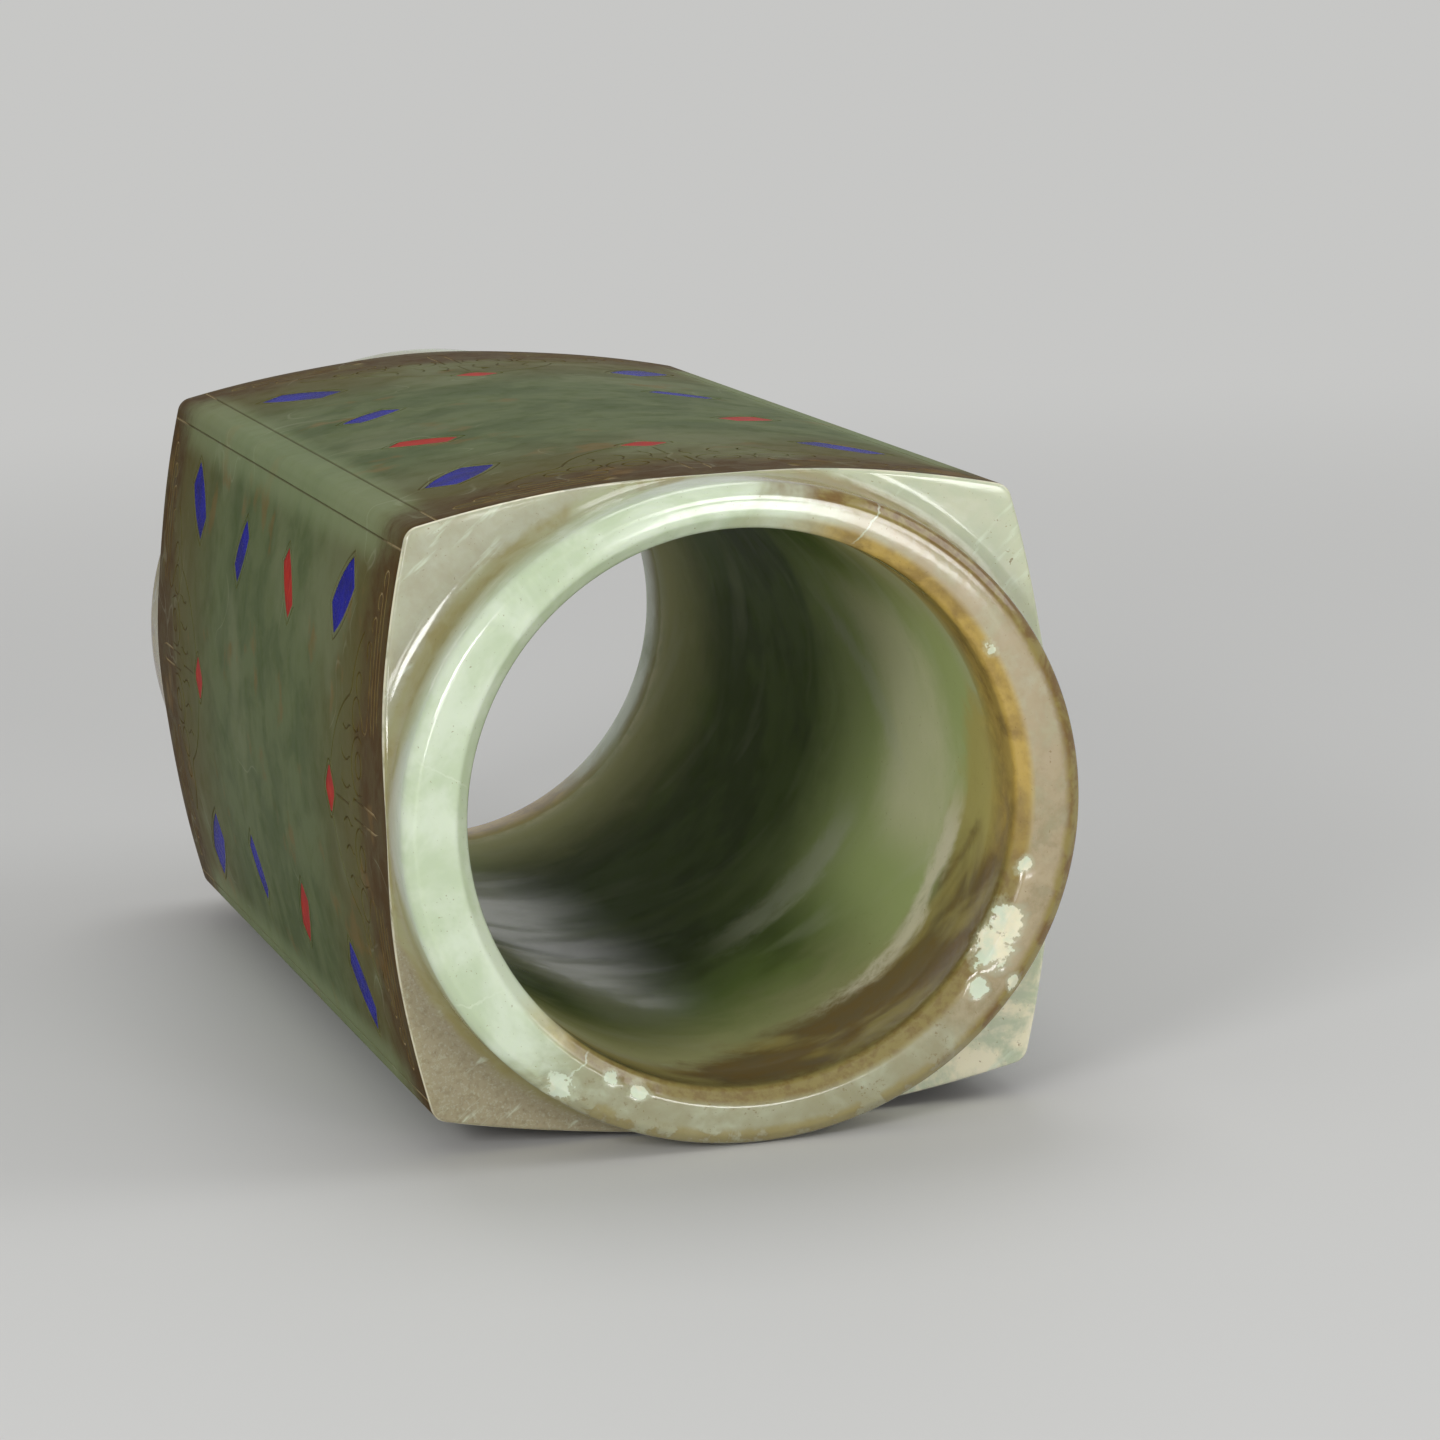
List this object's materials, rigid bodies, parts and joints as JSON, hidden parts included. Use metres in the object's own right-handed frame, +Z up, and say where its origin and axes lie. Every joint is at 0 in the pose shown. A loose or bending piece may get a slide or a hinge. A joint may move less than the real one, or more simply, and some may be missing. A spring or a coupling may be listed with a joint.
{
  "type": "jade cong tube",
  "caption": "Square jade tube with bulged faces, an oval collar at each end and a round bore right through, set with small lapis and coral inlays.",
  "frame": {"origin": "on the ground under the middle of the tube, which lies on its lower face", "axes": "+Y along the bore, from the near end (shown in the picture) to the far end; +X to the right seen from the near end; +Z up"},
  "size_m": [0.0698, 0.148, 0.0666],
  "materials": {
    "jade": "polished, translucent, brown staining near the ends",
    "lapis": "polished",
    "coral": "polished"
  },
  "bodies": {
    "root": {"jade_tube": "jade", "top_near_eye_left": "lapis", "top_near_eye_right": "lapis", "top_near_gem": "coral", "top_coral_leaf_left": "coral", "top_coral_leaf_right": "coral", "top_lapis_leaf_left": "lapis", "top_lapis_leaf_right": "lapis", "top_far_eye_left": "lapis", "top_far_eye_right": "lapis", "top_far_gem": "coral", "right_near_eye_left": "lapis", "right_near_eye_right": "lapis", "right_near_gem": "coral", "right_coral_leaf_left": "coral", "right_coral_leaf_right": "coral", "right_lapis_leaf_left": "lapis", "right_lapis_leaf_right": "lapis", "right_far_eye_left": "lapis", "right_far_eye_right": "lapis", "right_far_gem": "coral", "bottom_near_eye_left": "lapis", "bottom_near_eye_right": "lapis", "bottom_near_gem": "coral", "bottom_coral_leaf_left": "coral", "bottom_coral_leaf_right": "coral", "bottom_lapis_leaf_left": "lapis", "bottom_lapis_leaf_right": "lapis", "bottom_far_eye_left": "lapis", "bottom_far_eye_right": "lapis", "bottom_far_gem": "coral", "left_near_eye_left": "lapis", "left_near_eye_right": "lapis", "left_near_gem": "coral", "left_coral_leaf_left": "coral", "left_coral_leaf_right": "coral", "left_lapis_leaf_left": "lapis", "left_lapis_leaf_right": "lapis", "left_far_eye_left": "lapis", "left_far_eye_right": "lapis", "left_far_gem": "coral"}
  },
  "joints": []
}
